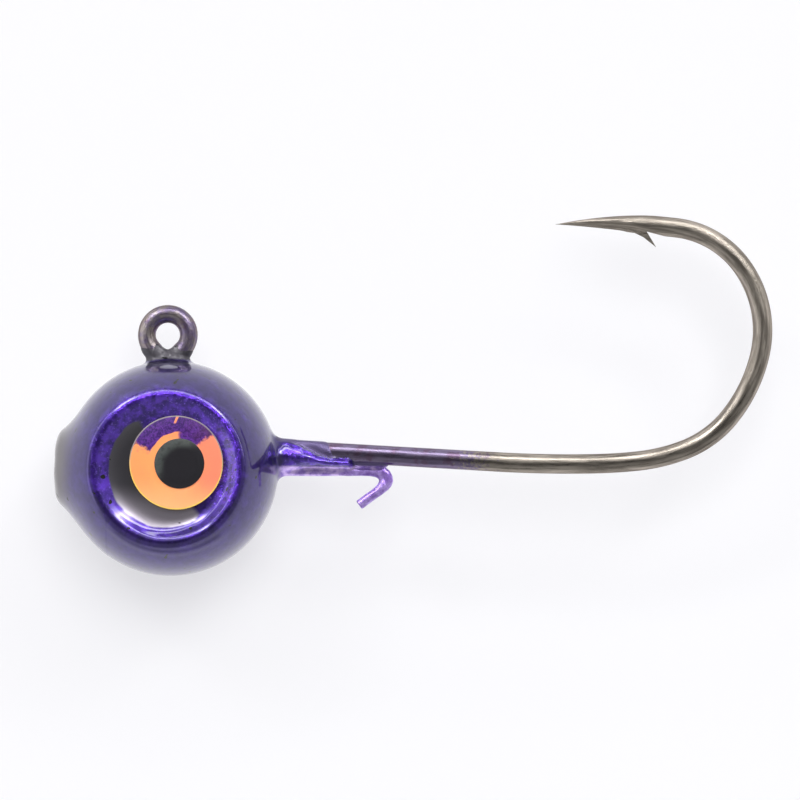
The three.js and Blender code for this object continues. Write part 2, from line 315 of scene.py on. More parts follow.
def head_field(x, y, z):
    """The whole painted skin. Paint has sagged into a low ridge under each socket."""
    ball = np.sqrt(x * x + y * y + z * z) - BALL_R
    from_ridge = np.sqrt(x * x + z * z) - 5.45 - 0.04 * x
    ball = ball - 0.03 * np.exp(-((from_ridge / 0.16) ** 2)) * smoothstep(-3.2, -4.6, z)
    body = smooth_min(ball, nose_field(x, y, z), 0.45)
    body = smooth_min(body, neck_field(x, y, z), 0.5)
    collar = smooth_min(tongue_field(x, y, z), wires_field(x, y, z), 0.3)
    body = smooth_min(body, collar, 0.6)
    return smooth_max(body, -socket_field(x, y, z), 0.5)


def on_wire(x, y, z):
    """1 where the skin is only a film on the hook, 0 on the ball, the nose, the tongue and the keeper."""
    cast = np.minimum(np.sqrt(x * x + y * y + z * z) - BALL_R, tongue_field(x, y, z))
    film = np.minimum(neck_field(x, y, z), wires_field(x, y, z))
    return smoothstep(-0.05, 0.1, cast - film) * (1 - on_keeper(x, y, z))


def on_keeper(x, y, z):
    """1 on the keeper wire where it leaves the ball, below the tongue and the shank."""
    top = keeper_run_z(x) + KEEPER_R
    return (1 - smoothstep(top - 0.1, top + 0.06, z)) * smoothstep(6.9, 7.4, x)


def thin_paint_and_sheen(x, y, z):
    """1 on the walls and rims of the sockets and on the tongue, where paint is thin over the bright base, and
    where the brighter purple is partly a painted sheen for the light they catch.
    """
    r = np.hypot(x, z)
    upward = z / np.maximum(r, 0.1)  # 1 straight above the socket's middle, -1 straight below
    above, below = smoothstep(-0.2, 0.9, upward), smoothstep(0.2, 0.8, -upward)
    # Painted light: the halo outside the rim is brighter and wider above, and the walls are duller below.
    rim_halo_and_sheen = (0.26 + 0.3 * above) * (1 - smoothstep(4.8, 5.3 + 0.4 * above, r))
    wall = (1 - 0.85 * below) * (1 - smoothstep(4.65, 4.95, r))
    sockets = np.maximum(wall, rim_halo_and_sheen) * smoothstep(2.5, 3.2, np.abs(y))
    tongue = smoothstep(6.9, 7.5, x) * (1 - smoothstep(12.0, 12.4, x))
    return np.maximum(sockets, 0.7 * tongue * (1 - on_wire(x, y, z)) * (1 - on_keeper(x, y, z)))


def pooled_paint_and_sheen(x, y, z):
    """1 on the floor of a socket, ahead of the eye and below it, where grey is partly pooled paint and partly
    a painted reflection; it reaches further out below.
    """
    r = np.hypot(x, z)
    edge = 3.65 + 0.15 * smoothstep(0.0, 0.7, -z / np.maximum(r, 0.1))
    share = smoothstep(-0.3, 0.2, np.cos(np.arctan2(z, x) - POOL_SIDE))
    return share * (1 - smoothstep(edge - 0.25, edge + 0.25, r)) * smoothstep(3.5, 3.8, np.abs(y))


def gradient(field, points):
    """The field's slope at each point, by central differences."""
    step = 2e-3
    x, y, z = points.T
    grads = [
        field(x + step, y, z) - field(x - step, y, z),
        field(x, y + step, z) - field(x, y - step, z),
        field(x, y, z + step) - field(x, y, z - step),
    ]
    return np.stack(grads, -1) / (2 * step)


def neighbours(axis):
    """Indexes that pair each point of a 3-D grid with the next one along an axis."""
    near, far = [slice(None)] * 3, [slice(None)] * 3
    near[axis], far[axis] = slice(None, -1), slice(1, None)
    return tuple(near), tuple(far)


def skin(field, low, high, cell):
    """A closed quad mesh of field = 0: one vertex per crossed cell, moved onto the surface."""
    axes = [np.arange(a, b + cell, cell) for a, b in zip(low, high)]
    values = np.stack([field(x, axes[1][:, None], axes[2][None, :]) for x in axes[0]])
    inside = values < 0
    shape = np.array(values.shape) - 1
    total = np.zeros(shape)
    place = np.zeros((*shape, 3))
    grid = np.stack(np.meshgrid(*[np.arange(n) for n in values.shape], indexing="ij"), -1)
    for axis in range(3):
        near, far = neighbours(axis)
        a, b = values[near], values[far]
        crossed = inside[near] != inside[far]
        share = np.where(crossed, a / np.where(crossed, a - b, 1), 0)
        point = grid[near].astype(float)
        point[..., axis] += share
        others = [i for i in range(3) if i != axis]
        for i in (0, 1):
            for j in (0, 1):
                cut = [slice(None)] * 3
                cut[others[0]] = slice(i, shape[others[0]] + i)
                cut[others[1]] = slice(j, shape[others[1]] + j)
                hit = crossed[tuple(cut)]
                total += hit
                place += np.where(hit[..., None], point[tuple(cut)], 0)
    cells = total > 0
    index = np.full(shape, -1)
    index[cells] = np.arange(cells.sum())
    points = place[cells] / total[cells][:, None] * cell + np.array(low)
    faces = []
    for axis in range(3):
        others = [(axis + 1) % 3, (axis + 2) % 3]
        near, far = neighbours(axis)
        start, end = inside[near], inside[far]
        where = np.argwhere(start != end)
        leaves = start[tuple(where.T)]
        corners = []
        for di, dj in ((-1, -1), (0, -1), (0, 0), (-1, 0)):
            at = where.copy()
            at[:, others[0]] += di
            at[:, others[1]] += dj
            corners.append(index[tuple(at.T)])
        quads = np.stack(corners, -1)
        quads[~leaves] = quads[~leaves][:, ::-1]
        faces.append(quads)
    for _ in range(6):  # Newton steps, each kept within a third of a cell
        slope = gradient(field, points)
        size = np.maximum((slope**2).sum(1), 0.05)
        move = slope * (field(*points.T) / size)[:, None]
        points = points - np.clip(move, -0.3 * cell, 0.3 * cell)
    slope = gradient(field, points)
    normals = slope / np.maximum(np.linalg.norm(slope, axis=1), 1e-9)[:, None]
    return points, np.concatenate(faces).tolist(), normals


# ---- Wires ----


def walk(x, z, heading, moves, spacing):
    """Points of a path in the XZ plane: a move is ("line", length) or ("arc", radius, signed degrees)."""
    points = [(x, z)]
    heading = math.radians(heading)
    for move in moves:
        if move[0] == "line":
            steps = max(1, round(move[1] / spacing))
            for i in range(1, steps + 1):
                d = move[1] * i / steps
                points.append((x + d * math.cos(heading), z + d * math.sin(heading)))
        else:
            _, radius, degrees = move
            side = math.copysign(1, degrees)
            sweep = math.radians(degrees)
            cx = x - side * radius * math.sin(heading)
            cz = z + side * radius * math.cos(heading)
            steps = max(2, round(abs(sweep) * radius / spacing))
            for i in range(1, steps + 1):
                a = heading + sweep * i / steps
                points.append((cx + side * radius * math.sin(a), cz - side * radius * math.cos(a)))
            heading += sweep
        x, z = points[-1]
    return np.array(points)


def wire(name, path, section, sides, material):
    """A wire swept along a path of (x, z) points, closed at both ends.

    section(s, total, angles) gives the radii at arc length s out of total. Angle 0 is the path's left and
    90 degrees is +Y.
    """
    along = np.gradient(path, axis=0)
    along /= np.linalg.norm(along, axis=1)[:, None]
    steps = np.linalg.norm(np.diff(path, axis=0), axis=1)
    s = np.concatenate([[0], np.cumsum(steps)])
    angles = np.arange(sides) * 2 * math.pi / sides
    vertices, lengths, turns = [], [], []
    for point, direction, distance in zip(path, along, s):
        radii = section(distance, s[-1], angles)
        left = np.array([-direction[1], direction[0]])
        across = radii * np.cos(angles)
        x, z = point[0] + across * left[0], point[1] + across * left[1]
        vertices.append(np.stack([x, radii * np.sin(angles), z], -1))
        lengths.append(np.full(sides, distance))
        turns.append(angles)
    vertices = np.concatenate(vertices)
    faces = []
    for ring in range(len(path) - 1):
        a, b = ring * sides, (ring + 1) * sides
        for i in range(sides):
            j = (i + 1) % sides
            faces.append([a + i, a + j, b + j, b + i])
    faces.append(list(range(sides))[::-1])
    faces.append([(len(path) - 1) * sides + i for i in range(sides)])
    obj = new_object(name, vertices, faces, material)
    attribute(obj, "along", np.concatenate(lengths))
    attribute(obj, "around", np.concatenate(turns))
    return obj


def hook_path():
    """From the tail buried in the lead, round the line tie, down the neck and along to the point.

    The ring is three quarters of a circle. A bend of an eighth at each end turns it into a neck wire.
    """
    leave = math.radians(45)
    drop = TIE[1] - TIE_R * math.sin(leave)
    tail_x, leg_x = NECK_X + NECK_HALF, NECK_X - NECK_HALF
    squeeze = 1 - math.sin(leave)
    tail_bend = (TIE[0] + TIE_R * math.cos(leave) - tail_x) / squeeze
    leg_bend = (leg_x - TIE[0] + TIE_R * math.cos(leave)) / squeeze
    tail_top = drop - tail_bend * math.cos(leave)
    leg_top = drop - leg_bend * math.cos(leave)
    moves = [
        ("line", tail_top - TAIL_END_Z),
        ("arc", tail_bend, -45),
        ("arc", TIE_R, 270),
        ("arc", leg_bend, -45),
        ("line", leg_top - SHANK_Z - ELBOW_R),
        ("arc", ELBOW_R, 90),
        ("line", SHANK_END_X - leg_x - ELBOW_R),
    ]
    moves += [("arc", radius, degrees) for radius, degrees in BEND_ARCS]
    return walk(tail_x, TAIL_END_Z, 90, moves, WIRE_STEP)


HOOK_PATH = hook_path()
# The ring's highest point parts the two neck wires. The point of the hook is higher, but far behind.
TIE_TOP = int(np.argmax(HOOK_PATH[:, 1] * (HOOK_PATH[:, 0] < 3)))
TIE_TOP_S = float(np.linalg.norm(np.diff(HOOK_PATH, axis=0), axis=1)[:TIE_TOP].sum())
NECK_END = int(np.argmax(HOOK_PATH[TIE_TOP:, 1] < SHANK_Z + ELBOW_R)) + TIE_TOP
NECK_PATHS = (HOOK_PATH[: TIE_TOP + 1], HOOK_PATH[TIE_TOP:NECK_END])


def hook_section(s, total, angles):
    """Round wire, pressed thinner round the line tie and tapered to the point."""
    taper = max(0.0, 1 - (total - s) / POINT_LENGTH)  # 0 on the wire, 1 at the tip
    radius = WIRE_R * (1 - taper**POINT_SHAPE)
    squeeze = 1 - smoothstep(2.4, 3.9, abs(s - TIE_TOP_S))
    radius -= (WIRE_R - TIE_WIRE_R) * squeeze
    radii = np.full(len(angles), max(radius, 0.015))  # never nothing, so that the tip stays closed
    if taper > 0:
        # Two flats ground on the inside of the point meet in an edge.
        flat = radius * (1 - (1 - 0.9 * math.cos(POINT_LEAN)) * smoothstep(0.0, 0.35, taper))
        for middle in (POINT_LEAN, -POINT_LEAN):
            facing = np.maximum(np.cos(angles - middle), 0.05)
            radii = np.minimum(radii, np.maximum(flat / facing, 0.012))
    return radii


def plate(name, outline, width):
    """A flat plate standing in the hook's plane, to cut or join with."""
    vertices = [(x, side * width / 2, z) for side in (-1, 1) for x, z in outline]
    n = len(outline)
    faces = [list(range(n)), list(range(n, 2 * n))[::-1]]
    faces += [[i, i + n, (i + 1) % n + n, (i + 1) % n] for i in range(n)]
    obj = new_object(name, vertices, faces, bpy.data.materials.new("cutter"))
    face_outward(obj)
    return obj


def combine(obj, other, operation):
    """Cuts or joins with another object, which is then thrown away."""
    modifier = obj.modifiers.new("combine", "BOOLEAN")
    modifier.operation = operation
    modifier.solver = "EXACT"
    modifier.object = other
    bpy.context.view_layer.update()
    evaluated = obj.evaluated_get(bpy.context.evaluated_depsgraph_get())
    mesh = bpy.data.meshes.new_from_object(evaluated)
    obj.modifiers.clear()
    obj.data = mesh
    bpy.data.objects.remove(other)


# ---- Materials: every place in them is in millimetres from the object's origin ----


class Nodes:
    """A short way to write a node tree."""

    def __init__(self, tree):
        self.tree = tree
        tree.nodes.clear()

    def feed(self, socket, value):
        """Links another node's output to an input, or sets the input's own value."""
        if isinstance(value, bpy.types.NodeSocket):
            self.tree.links.new(value, socket)
        else:
            socket.default_value = value

    def add(self, kind, sets=None, **inputs):
        """A new node. An input goes by its name, with _ for a space, or by its number, as i0 or i1."""
        node = self.tree.nodes.new(kind)
        for key, value in (sets or {}).items():
            setattr(node, key, value)
        for key, value in inputs.items():
            numbered = key[0] == "i" and key[1:].isdigit()
            self.feed(node.inputs[int(key[1:]) if numbered else key.replace("_", " ")], value)
        return node

    def math(self, operation, a, b=0.0):
        return self.add("ShaderNodeMath", {"operation": operation}, i0=a, i1=b).outputs[0]

    def plus(self, a, b):
        return self.math("ADD", a, b)

    def minus(self, a, b):
        return self.math("SUBTRACT", a, b)

    def times(self, a, b):
        return self.math("MULTIPLY", a, b)

    def swing(self, noise, width):
        """A noise moved to lie about 0 and made this wide."""
        return self.times(self.minus(noise, 0.5), width)

    def vector_math(self, operation, a, b):
        return self.add("ShaderNodeVectorMath", {"operation": operation}, i0=a, i1=b).outputs

    def length(self, vector):
        return self.add("ShaderNodeVectorMath", {"operation": "LENGTH"}, i0=vector).outputs["Value"]

    def split(self, vector):
        return self.add("ShaderNodeSeparateXYZ", Vector=vector).outputs

    def mix(self, factor, a, b):
        """Colour a where the factor is 0, and b where it is 1."""
        node = self.add("ShaderNodeMix", {"data_type": "RGBA"}, Factor=factor)
        for socket, value in ((node.inputs[6], a), (node.inputs[7], b)):
            self.feed(socket, value if isinstance(value, bpy.types.NodeSocket) else (*value, 1))
        return node.outputs[2]

    def mix_shader(self, factor, a, b):
        return self.add("ShaderNodeMixShader", Fac=factor, i1=a.outputs[0], i2=b.outputs[0])

    def step(self, value, low, high):
        """A smooth step from 0 at low to 1 at high. It falls with the value where low is the larger."""
        return self.add(
            "ShaderNodeMapRange",
            {"interpolation_type": "SMOOTHSTEP"},
            Value=value,
            From_Min=low,
            From_Max=high,
        ).outputs[0]

    def noise(self, vector, scale, detail, roughness):
        return self.add(
            "ShaderNodeTexNoise", Vector=vector, Scale=scale, Detail=detail, Roughness=roughness
        ).outputs[0]

    def bump(self, height, strength, distance):
        return self.add("ShaderNodeBump", Strength=strength, Distance=distance, Height=height).outputs[0]

    def attribute(self, name):
        return self.add("ShaderNodeAttribute", {"attribute_name": name}).outputs["Fac"]

    def surface(self, shader):
        self.add("ShaderNodeOutputMaterial", Surface=shader.outputs[0])

    def principled(self, **inputs):
        self.surface(self.add("ShaderNodeBsdfPrincipled", **inputs))


def new_material(name):
    material = bpy.data.materials.new(name)
    material.use_nodes = True
    return material, Nodes(material.node_tree)


def position_mm(nodes):
    """The point's place in the object, in millimetres."""
    place = nodes.add("ShaderNodeTexCoord").outputs["Object"]
    return nodes.add("ShaderNodeVectorMath", {"operation": "SCALE"}, i0=place, Scale=1000.0).outputs[0]


def flat_distance(nodes, place, x, z):
    """Distance from (x, z) in the plane of an eye."""
    flat = nodes.vector_math("MULTIPLY", place, (1, 0, 1))[0]
    return nodes.length(nodes.vector_math("SUBTRACT", flat, (x, 0, z))[0])


def polar(nodes, x, z):
    """The angle of (x, z), in degrees from +X towards +Z."""
    return nodes.times(nodes.math("ARCTAN2", z, x), DEGREE)


def candy_paint():
    """Clear purple over a bright crumpled base: bright round the eyes, partly as painted sheen, deep
    elsewhere, smoky on the wires.
    """
    material, n = new_material("candy_paint")
    place = position_mm(n)
    x, _, z = n.split(place)
    film = n.attribute("on_wire")
    pool_and_sheen = n.attribute("pooled_paint_and_sheen")
    mottle = n.noise(place, 1.7, 3, 0.6)
    patchy = n.noise(place, 0.75, 2, 0.5)
    flake = n.noise(place, 6.0, 2, 0.6)
    specks = n.noise(place, 1.9, 0, 0.5)

    # Vivid purple against deep purple. On the socket walls, the rims and the tongue the vivid purple is
    # partly a painted sheen.
    near = n.step(n.plus(n.attribute("thin_paint_and_sheen"), n.swing(patchy, 0.7)), 0.0, 0.9)
    bright = n.mix(n.step(mottle, 0.36, 0.64), (0.043, 0.011, 0.26), (0.15, 0.047, 0.74))
    bright = n.mix(n.step(flake, 0.56, 0.76), bright, (0.27, 0.14, 0.95))
    deep = n.mix(n.step(mottle, 0.3, 0.7), (0.0245, 0.0105, 0.120), (0.0365, 0.0165, 0.178))
    colour = n.mix(near, deep, bright)

    # Grey on the socket floors, partly pooled paint and partly a painted reflection: darker above, and paler
    # below the eye, where it is painted light from the lamps above.
    thick = n.mix(n.step(z, -1.0, -2.9), (0.12, 0.115, 0.135), (0.43, 0.39, 0.46))
    grey_pool_and_sheen = n.plus(pool_and_sheen, n.swing(patchy, 0.8))
    colour = n.mix(n.step(grey_pool_and_sheen, 0.3, 0.7), colour, thick)
    # Painted reflection: grey at the nose, for the pale surroundings that its paint mirrors.
    colour = n.mix(n.step(x, -5.8, -7.2), colour, (0.20, 0.19, 0.195))

    # The film on the wires turns from smoky to violet along the shank, and the keeper's paint is lilac.
    smoke = n.mix(n.step(x, 6.0, 7.5), (0.088, 0.083, 0.097), (0.14, 0.11, 0.24))
    colour = n.mix(film, colour, smoke)
    lilac = n.mix(n.step(mottle, 0.38, 0.62), (0.31, 0.18, 0.70), (0.70, 0.50, 1.0))
    colour = n.mix(n.attribute("on_keeper"), colour, lilac)
    # A few black specks lie all over.
    colour = n.mix(n.step(specks, 0.80, 0.82), colour, (0.004, 0.004, 0.005))

    # The base is crumpled where the paint is vivid, less so towards the nose, in the pool and on the wires.
    calm = n.plus(x, n.times(z, 0.5))
    crumple = n.plus(0.1, n.times(n.step(calm, -2.6, -0.8), 0.9))
    crumple = n.times(crumple, n.plus(0.06, n.times(near, 0.94)))
    crumple = n.times(crumple, n.minus(1.0, n.math("MAXIMUM", film, n.times(pool_and_sheen, 0.8))))
    height = n.times(n.plus(n.times(flake, 0.3), mottle), crumple)
    n.principled(
        Base_Color=colour,
        Metallic=0.95,
        Roughness=n.plus(0.32, n.times(film, 0.2)),
        Normal=n.bump(height, 1.0, 0.00015),
        Coat_Weight=n.minus(1.0, n.times(film, 0.85)),
        Coat_Roughness=0.02,
        Coat_IOR=1.65,
        Coat_Normal=n.bump(n.noise(place, 0.9, 1, 0.4), 0.12, 0.00010),
    )
    return material


def nickel():
    """Black nickel with a bronze cast, with a stain of paint from the ball to part way along the shank."""
    material, n = new_material("black_nickel")
    place = position_mm(n)
    x, _, z = n.split(place)
    along, around = n.attribute("along"), n.attribute("around")
    stretched = n.add(
        "ShaderNodeCombineXYZ",
        X=n.times(along, 0.14),
        Y=n.math("SINE", around),
        Z=n.math("COSINE", around),
    ).outputs[0]
    streak = n.noise(stretched, 3.2, 4, 0.6)
    fine = n.noise(place, 5.0, 3, 0.6)
    blush = n.noise(place, 1.3, 3, 0.6)
    wear = n.noise(place, 1.1, 3, 0.6)
    ring = n.step(z, 7.2, 7.8)

    metal = n.mix(n.step(streak, 0.35, 0.7), (0.245, 0.218, 0.188), (0.52, 0.465, 0.405))
    stain = n.mix(n.step(streak, 0.3, 0.7), (0.14, 0.108, 0.195), (0.27, 0.22, 0.35))
    stain = n.mix(n.step(blush, 0.5, 0.65), stain, (0.17, 0.11, 0.19))

    # The stain ends raggedly along the shank, and has worn off parts of the line tie's ring.
    bare_shank = n.step(n.plus(x, n.swing(fine, 9.0)), 18.6, 20.6)
    worn_ring = n.times(ring, n.step(wear, 0.36, 0.58))
    bare = n.math("MAXIMUM", bare_shank, n.times(worn_ring, 0.75))

    # Faint drawing marks run along the wire, and the ring is dented by the tool that bent it.
    dents = n.plus(n.times(streak, 0.15), n.times(n.times(fine, ring), 1.6))
    n.principled(
        Base_Color=n.mix(bare, stain, metal),
        Metallic=1.0,
        Roughness=n.plus(n.plus(0.19, n.times(streak, 0.2)), n.times(ring, 0.1)),
        Specular_Tint=(0.45, 0.42, 0.4, 1),
        Normal=n.bump(dents, 0.3, 0.00005),
        Coat_Weight=n.minus(0.4, n.times(bare, 0.4)),
        Coat_Roughness=0.05,
    )
    return material


def painted_wire():
    """Lilac paint, thin and mottled, on the keeper's free end."""
    material, n = new_material("painted_wire")
    mottle = n.noise(position_mm(n), 2.4, 3, 0.6)
    n.principled(
        Base_Color=n.mix(n.step(mottle, 0.35, 0.7), (0.27, 0.15, 0.56), (0.58, 0.41, 0.95)),
        Metallic=0.7,
        Roughness=0.42,
        Normal=n.bump(mottle, 0.3, 0.00006),
        Coat_Weight=0.5,
        Coat_Roughness=0.12,
    )
    return material


def cast_lead():
    """Dull grained lead, which the paint hides."""
    material, n = new_material("cast_lead")
    grain = n.noise(position_mm(n), 3.0, 4, 0.6)
    n.principled(
        Base_Color=n.mix(grain, (0.16, 0.165, 0.17), (0.34, 0.345, 0.35)),
        Metallic=0.8,
        Roughness=0.55,
        Normal=n.bump(grain, 0.4, 0.00008),
    )
    return material


def holographic_foil():
    """Orange film that turns pink to one side, with a painted reflection of the socket's purple wall,
    mottled, over the top of the eye.
    """
    material, n = new_material("holographic_foil")
    place = position_mm(n)
    x, _, z = n.split(place)
    ragged = n.noise(place, 1.5, 3, 0.6)
    speckle = n.noise(place, 7.0, 3, 0.7)
    swirl = n.noise(place, 0.5, 1, 0.5)
    from_middle = flat_distance(n, place, 0, 0)
    from_pupil = flat_distance(n, place, *PUPIL_OFF)
    angle = polar(n, x, z)

    drift = n.plus(n.plus(n.times(x, 0.16), swirl), n.swing(speckle, 0.7))
    orange = n.mix(n.step(drift, 0.25, 0.95), (1.0, 0.36, 0.13), (0.92, 0.26, 0.155))
    orange = n.mix(n.step(z, -0.8, -3.1), orange, (1.0, 0.50, 0.22))
    # Painted reflection: the socket's purple wall as the mirror-like film shows it, blotched dark red to the
    # right.
    purple = n.mix(n.step(speckle, 0.35, 0.68), (0.030, 0.007, 0.105), (0.13, 0.035, 0.32))
    blotch = n.times(n.step(x, -0.2, 2.0), n.step(ragged, 0.4, 0.6))
    purple = n.mix(n.times(blotch, 0.5), purple, (0.075, 0.02, 0.055))

    # The painted reflection of the socket's upper wall spans a ragged sector over the top of the eye.
    wobble = n.swing(ragged, 36.0)
    patch_angle = n.plus(angle, wobble)
    reflected_wall = n.times(n.step(patch_angle, 38, 45), n.step(patch_angle, 164, 157))
    # Orange shows through it in an arc against the pupil and in a short leaning tick at the rim.
    arc_angle = polar(n, n.minus(x, PUPIL_OFF[0]), n.minus(z, PUPIL_OFF[1]))
    arc_angle = n.plus(arc_angle, n.times(wobble, 0.4))
    arc_reach = n.plus(from_pupil, n.swing(ragged, 0.3))
    arc = n.times(n.step(arc_angle, 88, 97), n.step(arc_reach, 2.06, 1.98))
    lean = n.minus(n.times(from_middle, 9.0), 25.0)
    off_tick = n.math("ABSOLUTE", n.minus(n.plus(angle, lean), 93.0))
    tick = n.times(n.step(off_tick, 2.0, 1.2), n.step(from_middle, 2.45, 2.6))
    reflected_wall = n.times(reflected_wall, n.minus(1.0, n.math("MAXIMUM", arc, tick)))

    # The cut edge of the film catches light: yellow below and grey above.
    edge = n.mix(n.step(z, -1.5, 1.2), (1.0, 0.66, 0.12), (0.30, 0.26, 0.28))
    colour = n.mix(n.step(from_middle, 2.91, 2.95), n.mix(reflected_wall, orange, purple), edge)
    n.principled(
        Base_Color=colour,
        Metallic=0.1,
        Roughness=0.35,
        Normal=n.bump(speckle, 0.2, 0.00004),
        # The film glows faintly in its own colour: painted light that brightens it.
        Emission_Color=colour,
        Emission_Strength=0.3,
    )
    return material


def pupil_ink():
    """Black print with a painted reflection: a grey-green arc towards its upper left."""
    material, n = new_material("pupil_ink")
    place = position_mm(n)
    x, _, z = n.split(place)
    grain = n.noise(place, 2.0, 3, 0.6)
    reach = flat_distance(n, place, 0.22, -0.2)
    # A painted reflection in grey-green, towards the upper left.
    reflected_arc = n.times(n.step(reach, 1.05, 1.6), n.step(n.minus(z, x), -0.2, 1.0))
    reflected_arc = n.times(reflected_arc, n.step(grain, 0.1, 0.6))
    n.principled(
        Base_Color=n.mix(reflected_arc, (0.014, 0.013, 0.017), (0.075, 0.085, 0.083)),
        Roughness=0.25,
        Normal=n.bump(grain, 0.05, 0.00003),
    )
    return material


def clear_resin():
    """Water-clear resin with a slightly uneven top."""
    material, n = new_material("clear_resin")
    dimple = n.bump(n.noise(position_mm(n), 0.6, 1, 0.4), 0.1, 0.00005)
    # Rays go straight through, so only the outer surface mirrors: from inside it would mirror everything.
    inside = n.add("ShaderNodeNewGeometry").outputs["Backfacing"]
    fresnel = n.add("ShaderNodeFresnel", IOR=1.5, Normal=dimple).outputs[0]
    clear = n.add("ShaderNodeBsdfTransparent", Color=(0.97, 0.97, 0.96, 1))
    gloss = n.add("ShaderNodeBsdfAnisotropic", Roughness=0.03, Normal=dimple)
    n.surface(n.mix_shader(n.times(fresnel, n.minus(1.0, inside)), clear, gloss))
    return material


def adhesive_pad():
    """Off-white foam tape."""
    material, n = new_material("adhesive")
    grain = n.noise(position_mm(n), 4.0, 2, 0.5)
    n.principled(
        Base_Color=n.mix(grain, (0.55, 0.55, 0.52), (0.72, 0.72, 0.68)),
        Roughness=0.6,
        Normal=n.bump(grain, 0.2, 0.00002),
    )
    return material


# ---- The painted head ----

points, faces, normals = skin(
    head_field,
    coat_low - SKIN_MARGIN,
    (SKIN_END_X, coat_high[1] + SKIN_MARGIN, SKIN_TOP_Z),
    CELL,
)
painted_head = new_object("painted_head", points, faces, candy_paint(), normals)
for share in (on_wire, thin_paint_and_sheen, pooled_paint_and_sheen, on_keeper):  # candy_paint reads each by the function's name
    attribute(painted_head, share.__name__, share(*points.T))
finish_piece(painted_head, "paint_coat")

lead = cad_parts["lead_head"]
lead.data.materials.clear()
lead.data.materials.append(cast_lead())

# ---- Hook ----

hook = wire("hook_wire", HOOK_PATH, hook_section, WIRE_SIDES, nickel())

# A wedge is cut from the inner side of the wire, and the barb's sliver stands out over it.
notch_x, notch_z = BARB_NOTCH
cut_outline = [
    (notch_x, notch_z),
    (notch_x + 0.35, notch_z - 0.9),
    (notch_x + 2, notch_z - 0.9),
    (notch_x + 1.75, notch_z - 0.38),
]
barb_outline = [
    (notch_x - 1.3, notch_z + 0.1),
    (notch_x - 0.7, notch_z - 0.17),
    (notch_x - 0.15, notch_z - 0.4),
    BARB_TIP,
    (notch_x + 0.02, notch_z),
]
combine(hook, plate("cutter", cut_outline, BARB_CUT_WIDTH), "DIFFERENCE")
combine(hook, plate("sliver", barb_outline, BARB_WIDTH), "UNION")
sharpen(hook, degrees=35)
finish_piece(hook, "hook")

# ---- Keeper ----

KEEPER_MOVES = [
    ("line", KEEPER_RUN),
    ("arc", KEEPER_BEND_R, KEEPER_TURN),
    ("line", KEEPER_LEG),
]
KEEPER_PATH = walk(*KEEPER_START, KEEPER_SLOPE, KEEPER_MOVES, KEEPER_STEP)
RUN_END = walk(*KEEPER_START, KEEPER_SLOPE, KEEPER_MOVES[:1], KEEPER_RUN)[-1]
LEG_END = KEEPER_PATH[-1]
LEG_ALONG = (LEG_END - KEEPER_PATH[-2]) / np.linalg.norm(LEG_END - KEEPER_PATH[-2])
LEG_START = LEG_END - LEG_ALONG * KEEPER_LEG


def keeper_field(x, y, z):
    """The keeper wire under lumpy paint that pools inside its bend, with a square-cut end."""
    x, y, z = np.broadcast_arrays(x, y, z)
    lumps = 0.012 * ripple(x, y, z, 0.28)
    tube = tube_field(KEEPER_PATH, KEEPER_R + lumps, x, y, z)
    run = tube_field([KEEPER_START, RUN_END], KEEPER_R, x, y, z)
    leg = tube_field([LEG_START, LEG_END], KEEPER_R, x, y, z)
    tube = np.minimum(tube, smooth_min(run, leg, 1.0))
    past_end = (x - LEG_END[0]) * LEG_ALONG[0] + (z - LEG_END[1]) * LEG_ALONG[1]
    return np.maximum(smooth_max(tube, past_end, 0.08), KEEPER_START[0] - x)


half_width, margin = 0.5, 0.2
points, faces, normals = skin(
    keeper_field,
    (KEEPER_START[0] - 0.3, -half_width, keeper_low[2] - margin),
    (keeper_high[0] + margin, half_width, keeper_high[2] + margin),
    KEEPER_CELL,
)
keeper = new_object("keeper", points, faces, painted_wire(), normals)
finish_piece(keeper, "keeper_wire")

# ---- Eyes ----


def turned(name, profile, material, origin, outward, sides):
    """A disc-like piece turned round the Y axis from (radius, height) points.

    The profile starts and ends on the axis, and its heights run towards outward, which is 1 or -1.
    """

    def at(radius, height, angle):
        return (
            origin[0] + radius * math.cos(angle),
            origin[1] + outward * height,
            origin[2] + radius * math.sin(angle),
        )

    rings = profile[1:-1]
    angles = np.arange(sides) * 2 * math.pi / sides
    vertices = [at(*ring, a) for ring in rings for a in angles]
    first, last = len(vertices), len(vertices) + 1
    vertices += [at(*profile[0], 0), at(*profile[-1], 0)]
    faces = []
    for k in range(len(rings) - 1):
        for i in range(sides):
            j = (i + 1) % sides
            faces.append([k * sides + i, k * sides + j, (k + 1) * sides + j, (k + 1) * sides + i])
    top = (len(rings) - 1) * sides
    for i in range(sides):
        j = (i + 1) % sides
        faces.append([first, j, i])
        faces.append([last, top + i, top + j])
    if outward > 0:
        faces = [f[::-1] for f in faces]
    obj = new_object(name, vertices, faces, material, origin_mm=origin)
    face_outward(obj)
    sharpen(obj, degrees=40)
    return obj


def disc_profile(radius, bottom, top, count):
    """A flat disc whose edges are softened, with count rings on its top."""
    inner, soft = radius * 0.985, 0.012
    rings = [(0, bottom), (inner, bottom), (radius, bottom + soft), (radius, top - soft)]
    rings += [(inner * (1 - i / count), top) for i in range(count)]
    return [*rings, (0, top)]


def dome_profile(radius, bottom, top, count):
    """A clear dome on an upright edge."""
    shoulder = bottom + DOME_EDGE
    rings = [(0, bottom), (radius, bottom), (radius, shoulder)]
    for i in range(1, count + 1):
        share = 1 - i / count
        rings.append((radius * share, shoulder + (top - shoulder) * (1 - share**DOME_SHAPE)))
    return rings


